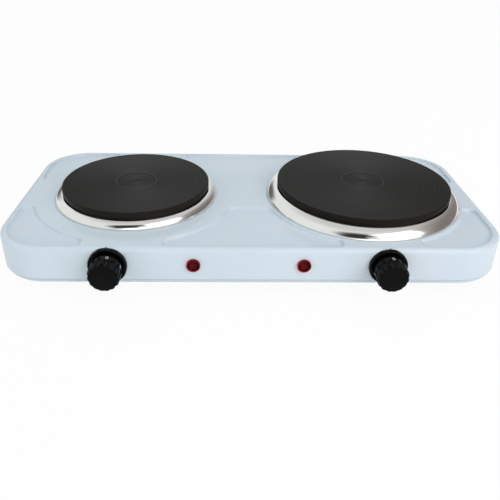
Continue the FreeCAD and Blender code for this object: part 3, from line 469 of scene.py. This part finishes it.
# %% Plates
GROOVE_PITCH = 1.6 * MM
GROOVE_DEPTH = 0.07 * MM
DISH_DEPTH = 0.5 * MM
RIM_HEIGHT = 5.4 * MM
LEDGE_INSET = 1.6 * MM
LEDGE_DEPTH = 7.2 * MM
SKIRT_INSET = 6.0 * MM
SKIRT_WALL = 4.5 * MM
SKIRT_DEPTH = 18.0 * MM
ROOM_DEPTH = 6.0 * MM
BOSS_RADIUS = 14.0 * MM
BORE_RADIUS = 3.05 * MM
BORE_TOP = 7.95 * MM
PLATE_ANGLE = 28.0
for side in ("left", "right"):
    low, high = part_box(side + "_plate")
    centre = (low + high) / 2
    top = high.z
    rim = (high.x - low.x) / 2
    under = top - RIM_HEIGHT
    inset = rim - LEDGE_INSET
    ledge = top - LEDGE_DEPTH
    skirt = rim - SKIRT_INSET
    hollow = skirt - SKIRT_WALL
    foot = top - SKIRT_DEPTH
    room = top - ROOM_DEPTH
    bore = top - BORE_TOP
    dish = dish_radius[side]
    floor = top - DISH_DEPTH
    section = [(0.0, floor - 0.6 * MM), (0.8 * MM, floor - 0.56 * MM), (2.4 * MM, floor)]
    section += grooves(3.2 * MM, dish - 1.3 * MM, floor, GROOVE_PITCH, GROOVE_DEPTH)
    section += [(dish - 0.5 * MM, floor), (dish - 0.1 * MM, top - 0.05 * MM)]
    section += [(dish + 0.1 * MM, top), (dish + 0.6 * MM, top)]
    section += grooves(dish + 1.2 * MM, rim - 2.0 * MM, top, GROOVE_PITCH, GROOVE_DEPTH)
    section += [(rim - 1.0 * MM, top), (rim - 0.7 * MM, top - 0.08 * MM)]
    section += [(rim - 0.08 * MM, top - 0.7 * MM), (rim, top - 1.0 * MM)]
    section += [(rim, under + 0.3 * MM), (rim - 0.1 * MM, under + 0.1 * MM), (rim - 0.3 * MM, under)]
    section += [(inset, under), (inset, ledge), (skirt, ledge), (skirt, foot)]
    section += [(hollow, foot), (hollow, room), (BOSS_RADIUS, room), (BOSS_RADIUS, foot)]
    section += [(BORE_RADIUS, foot), (BORE_RADIUS, bore), (0.0, bore)]
    plate = turn(side + "_plate_turned", section, centre)
    shade(plate, PLATE_ANGLE)
    dress(plate, side + "_plate")
    plate.data.materials[0] = iron_finishes[side]
    print(plate.name, "radius:", round(rim, 4), "faces:", len(plate.data.polygons))

# %% [markdown]
# Each ring stands on the deck with an upright lip and bows up to a flange under the plate's rim. A
# polished bow shows every flat, so its arc is drawn in fine steps. The arc is found from its two ends
# and its bulge, as a maker would set a compass.

# %% Trim rings
def bow(start, end, bulge, steps):
    """Points of an arc between two radius and height pairs; it bows out and up."""
    (r0, z0), (r1, z1) = start, end
    run = math.hypot(r1 - r0, z1 - z0)
    radius = (run * run / 4 + bulge * bulge) / (2 * bulge)
    half = math.asin(run / 2 / radius)
    out = Vector(((z1 - z0) / run, (r0 - r1) / run))
    along = Vector(((r1 - r0) / run, (z1 - z0) / run))
    middle = Vector(((r0 + r1) / 2, (z0 + z1) / 2)) + out * (bulge - radius)
    points = []
    for i in range(steps + 1):
        angle = half * (2 * i / steps - 1)
        spot = middle + out * radius * math.cos(angle) + along * radius * math.sin(angle)
        points.append((spot.x, spot.y))
    return points


SHEET = 0.8 * MM
LIP_HEIGHT = 1.2 * MM
SHOULDER_OUT = 1.2 * MM
FLANGE_IN = 5.0 * MM
RING_BULGE = 1.5 * MM
OUTER_STEPS = 14
INNER_STEPS = 10
for side in ("left", "right"):
    low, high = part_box(side + "_trim_ring")
    plate_low, plate_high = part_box(side + "_plate")
    centre = (low + high) / 2
    ring = (high.x - low.x) / 2
    rim = (plate_high.x - plate_low.x) / 2
    deck, flange_z = low.z, high.z
    shoulder = rim + SHOULDER_OUT
    flange = rim - FLANGE_IN
    outer = bow((ring, deck + LIP_HEIGHT), (shoulder, flange_z - 0.1 * MM), RING_BULGE, OUTER_STEPS)
    inner_end = (shoulder - SHEET / 2, flange_z - SHEET)
    inner = bow((ring - SHEET, deck), inner_end, RING_BULGE, INNER_STEPS)
    section = [(ring - SHEET, deck), (ring - 0.5 * MM, deck)]
    section += [(ring - 0.15 * MM, deck + 0.15 * MM), (ring, deck + 0.5 * MM)]
    section += outer
    section += [(shoulder - 0.3 * MM, flange_z), (flange, flange_z), (flange, flange_z - SHEET)]
    section += list(reversed(inner))
    piece = turn(side + "_ring_turned", section, centre)
    shade(piece, PIECE_ANGLE)
    dress(piece, side + "_trim_ring")
    print(piece.name, "radius:", round(ring, 4), "faces:", len(piece.data.polygons))

# %% [markdown]
# The dial is printed on the barrel of each knob in plain numbers. When the plate is off, 0 is near the
# bezel's pointer; 100 degrees bring up 1, and five sixths of a turn brings up 5. Each number is a text
# object that is made a mesh and then wrapped round the barrel, a twentieth of a millimetre proud. A font's
# figures are lower than its size, hence the share. The numbers turn with their knob.

# %% Dial numbers
finish, tree, shader = new_finish("dial_print", (0.62, 0.62, 0.58), 0.55)
two_tone(tree, noise(tree, 900.0), (0.56, 0.56, 0.52), (0.68, 0.68, 0.64), shader.inputs["Base Color"])
NUMBER_HEIGHT = 4.4 * MM
NUMBER_OUT = 11.6 * MM
NUMBER_ANGLES = [0.0, 100.0, 150.0, 200.0, 250.0, 300.0]
PAST_POINTER = {"left": 11.0, "right": 3.0}
BARREL = 14.7 * MM
FIGURE_SHARE = 0.72
PRINT_PROUD = 0.05 * MM
PRINT_THINNED = 0.07 * MM
PRINT_WELD = 0.0001 * MM
joints = {joint["child"]: joint for joint in frame["joints"]}
for side in ("left", "right"):
    axis = Vector(joints[side + "_control"]["pos_m"])
    prints = []
    for number, degrees in enumerate(NUMBER_ANGLES):
        pick(next(iter(nodes.values())))
        bpy.ops.object.text_add(location=(0.0, 0.0, 0.0))
        text = bpy.context.object
        text.data.body = str(number)
        text.data.align_x = "CENTER"
        text.data.align_y = "CENTER"
        text.data.size = NUMBER_HEIGHT / FIGURE_SHARE
        text.data.extrude = PRINT_PROUD
        text.data.offset = -PRINT_THINNED
        text.data.resolution_u = 4
        pick(text)
        bpy.ops.object.convert(target="MESH")
        digit = bpy.context.object
        for vertex in digit.data.vertices:
            across, along, proud = vertex.co
            angle = across / BARREL - math.radians(degrees - PAST_POINTER[side])
            reach = BARREL + proud
            wrapped = Vector((reach * math.sin(angle), along - NUMBER_OUT, reach * math.cos(angle)))
            vertex.co = axis + wrapped
        prints.append(digit)
    pick(*prints)
    bpy.ops.object.join()
    dial = bpy.context.object
    dial.name = side + "_dial_numbers"
    bpy.ops.object.mode_set(mode="EDIT")
    bpy.ops.mesh.select_all(action="SELECT")
    bpy.ops.mesh.remove_doubles(threshold=PRINT_WELD)
    bpy.ops.mesh.normals_make_consistent(inside=False)
    bpy.ops.object.mode_set(mode="OBJECT")
    dial.data.materials.clear()
    dial.data.materials.append(finish)
    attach(dial, side + "_control")
    print(dial.name, "faces:", len(dial.data.polygons))

# %% [markdown]
# The hot plate stands on a plain white floor. Cameras and mirrors see most of that white as its own
# glow, so it stays an even white, and the rest is ordinary diffuse paint that keeps the soft shadow.

# %% Floor
FLOOR_SIZE = 12.0
GLOW_SHARE = 0.94
pick(next(iter(nodes.values())))
bpy.ops.mesh.primitive_plane_add(size=FLOOR_SIZE, location=(0.0, 0.0, 0.0))
floor = bpy.context.object
floor.name = "studio_floor"
finish = bpy.data.materials.new("white_floor")
finish.use_nodes = True
tree = finish.node_tree
tree.nodes.clear()
output = tree.nodes.new("ShaderNodeOutputMaterial")
paint = tree.nodes.new("ShaderNodeBsdfDiffuse")
paint.inputs["Color"].default_value = (0.92, 0.92, 0.92, 1.0)
glow = tree.nodes.new("ShaderNodeEmission")
glow.inputs["Color"].default_value = (1.0, 1.0, 1.0, 1.0)
glow.inputs["Strength"].default_value = 1.0
rays = tree.nodes.new("ShaderNodeLightPath")
seen = tree.nodes.new("ShaderNodeMath")
seen.operation = "MAXIMUM"
mirrored = tree.nodes.new("ShaderNodeMath")
mirrored.operation = "MAXIMUM"
share = tree.nodes.new("ShaderNodeMath")
share.operation = "MULTIPLY"
share.inputs[1].default_value = GLOW_SHARE
mix = tree.nodes.new("ShaderNodeMixShader")
tree.links.new(rays.outputs["Is Glossy Ray"], mirrored.inputs[0])
tree.links.new(rays.outputs["Is Transmission Ray"], mirrored.inputs[1])
tree.links.new(rays.outputs["Is Camera Ray"], seen.inputs[0])
tree.links.new(mirrored.outputs["Value"], seen.inputs[1])
tree.links.new(seen.outputs["Value"], share.inputs[0])
tree.links.new(share.outputs["Value"], mix.inputs["Fac"])
tree.links.new(paint.outputs["BSDF"], mix.inputs[1])
tree.links.new(glow.outputs["Emission"], mix.inputs[2])
tree.links.new(mix.outputs["Shader"], output.inputs["Surface"])
floor.data.materials.append(finish)
print("floor:", floor.name)

# %% [markdown]
# The light is that of a plain product table. The room is pale on the left and behind, dimmer on the
# right, bright low in front and high on the right in front, and dark where the viewer stands and in a
# corner behind; the polished rings show all of that, as they do on the real object. A patch has a
# direction, the two angles between which it fades, and a colour. Two broad soft boxes help, one high on
# the right and one in front on the right. Behind the floor's edge, a camera sees a plain white backdrop.

# %% Light
world = bpy.data.worlds.new("pale_room")
bpy.context.scene.world = world
world.use_nodes = True
tree = world.node_tree
room = tree.nodes["Background"]
room.inputs["Strength"].default_value = 1.0
direction = tree.nodes.new("ShaderNodeTexCoord").outputs["Generated"]


def towards(aim, near, far):
    """1 in the direction of aim, falling to 0 between two angles from it."""
    turned = tree.nodes.new("ShaderNodeVectorMath")
    turned.operation = "DOT_PRODUCT"
    turned.inputs[1].default_value = Vector(aim).normalized()
    fall = tree.nodes.new("ShaderNodeMapRange")
    fall.interpolation_type = "SMOOTHSTEP"
    fall.inputs["From Min"].default_value = math.cos(math.radians(far))
    fall.inputs["From Max"].default_value = math.cos(math.radians(near))
    tree.links.new(direction, turned.inputs[0])
    tree.links.new(turned.outputs["Value"], fall.inputs["Value"])
    return fall.outputs["Result"]


def patch(below, aim, near, far, color):
    """Lays a soft round patch of colour over the room."""
    mix = tree.nodes.new("ShaderNodeMix")
    mix.data_type = "RGBA"
    tree.links.new(towards(aim, near, far), mix.inputs["Factor"])
    if hasattr(below, "is_linked"):
        tree.links.new(below, mix.inputs["A"])
    else:
        mix.inputs["A"].default_value = (*below, 1.0)
    mix.inputs["B"].default_value = (*color, 1.0)
    return mix.outputs["Result"]


ROOM_TONE = (0.92, 0.985, 1.00)
room_patches = {
    "dim right wall": ((1.0, 0.35, 0.1), 15.0, 70.0, (0.24, 0.22, 0.22)),
    "ceiling": ((0.0, 0.2, 1.0), 10.0, 45.0, (0.70, 0.72, 0.75)),
    "viewer": ((-0.10, -0.80, 0.60), 14.0, 31.0, (0.03, 0.03, 0.03)),
    "low front light": ((0.0, -0.98, 0.14), 4.0, 22.0, (1.9, 1.9, 1.9)),
    "high right light": ((0.55, -0.53, 0.64), 3.0, 22.0, (2.0, 2.0, 2.0)),
    "dark corner behind": ((-0.48, 0.86, 0.12), 6.0, 20.0, (0.14, 0.13, 0.13)),
}
walls = ROOM_TONE
for aim, near, far, color in room_patches.values():
    walls = patch(walls, aim, near, far, color)
tree.links.new(walls, room.inputs["Color"])
backdrop = tree.nodes.new("ShaderNodeBackground")
backdrop.inputs["Color"].default_value = (0.98, 0.98, 0.98, 1.0)
rays = tree.nodes.new("ShaderNodeLightPath")
either = tree.nodes.new("ShaderNodeMixShader")
tree.links.new(rays.outputs["Is Camera Ray"], either.inputs["Fac"])
tree.links.new(room.outputs["Background"], either.inputs[1])
tree.links.new(backdrop.outputs["Background"], either.inputs[2])
tree.links.new(either.outputs["Shader"], tree.nodes["World Output"].inputs["Surface"])
BOX_TARGET = Vector((0.0, 0.0, 0.05))


def soft_box(name, place, width, height, power):
    pick(next(iter(nodes.values())))
    bpy.ops.object.light_add(type="AREA", location=place)
    lamp = bpy.context.object
    lamp.name = name
    lamp.data.shape = "RECTANGLE"
    lamp.data.size = width
    lamp.data.size_y = height
    lamp.data.energy = power
    lamp.rotation_euler = (BOX_TARGET - Vector(place)).to_track_quat("-Z", "Y").to_euler()


soft_box("high_box", (0.95, -0.95, 1.15), 1.4, 1.2, 5.0)
soft_box("front_box", (1.05, -1.55, 0.8), 2.0, 1.4, 7.0)

# %% [markdown]
# The camera stands a little left of the middle and looks down at the object. Its place, turn and focal
# length were fitted to the rims, rings and outline of the photograph; the shift puts the object above
# the middle of the square picture, as there.

# %% Camera
IMAGE_PIXELS = 500.0
SENSOR_MM = 36.0
CAMERA_PLACE = Vector((-24.0774, -550.9749, 313.876)) * MM
PITCH, YAW, ROLL = 0.5004, 0.0353, -0.0233
FOCAL_PIXELS = 562.136
CENTRE_PIXELS = (245.5613, 226.9365)
forward = Vector((math.sin(YAW) * math.cos(PITCH), math.cos(YAW) * math.cos(PITCH), -math.sin(PITCH)))
level = Vector((math.cos(YAW), -math.sin(YAW), 0.0))
down = forward.cross(level)
right = level * math.cos(ROLL) + down * math.sin(ROLL)
down = down * math.cos(ROLL) - level * math.sin(ROLL)
turn_matrix = Matrix((right, -down, -forward)).transposed().to_4x4()
pick(next(iter(nodes.values())))
bpy.ops.object.camera_add(location=CAMERA_PLACE)
camera = bpy.context.object
camera.matrix_world = Matrix.Translation(CAMERA_PLACE) @ turn_matrix
camera.data.sensor_fit = "HORIZONTAL"
camera.data.sensor_width = SENSOR_MM
camera.data.lens = SENSOR_MM * FOCAL_PIXELS / IMAGE_PIXELS
camera.data.shift_x = (IMAGE_PIXELS / 2 - CENTRE_PIXELS[0]) / IMAGE_PIXELS
camera.data.shift_y = (CENTRE_PIXELS[1] - IMAGE_PIXELS / 2) / IMAGE_PIXELS
camera.data.clip_start = 0.01
bpy.context.scene.camera = camera
bpy.context.scene.view_settings.view_transform = "Standard"
print("camera:", [round(v, 4) for v in CAMERA_PLACE], "lens:", round(camera.data.lens, 2))
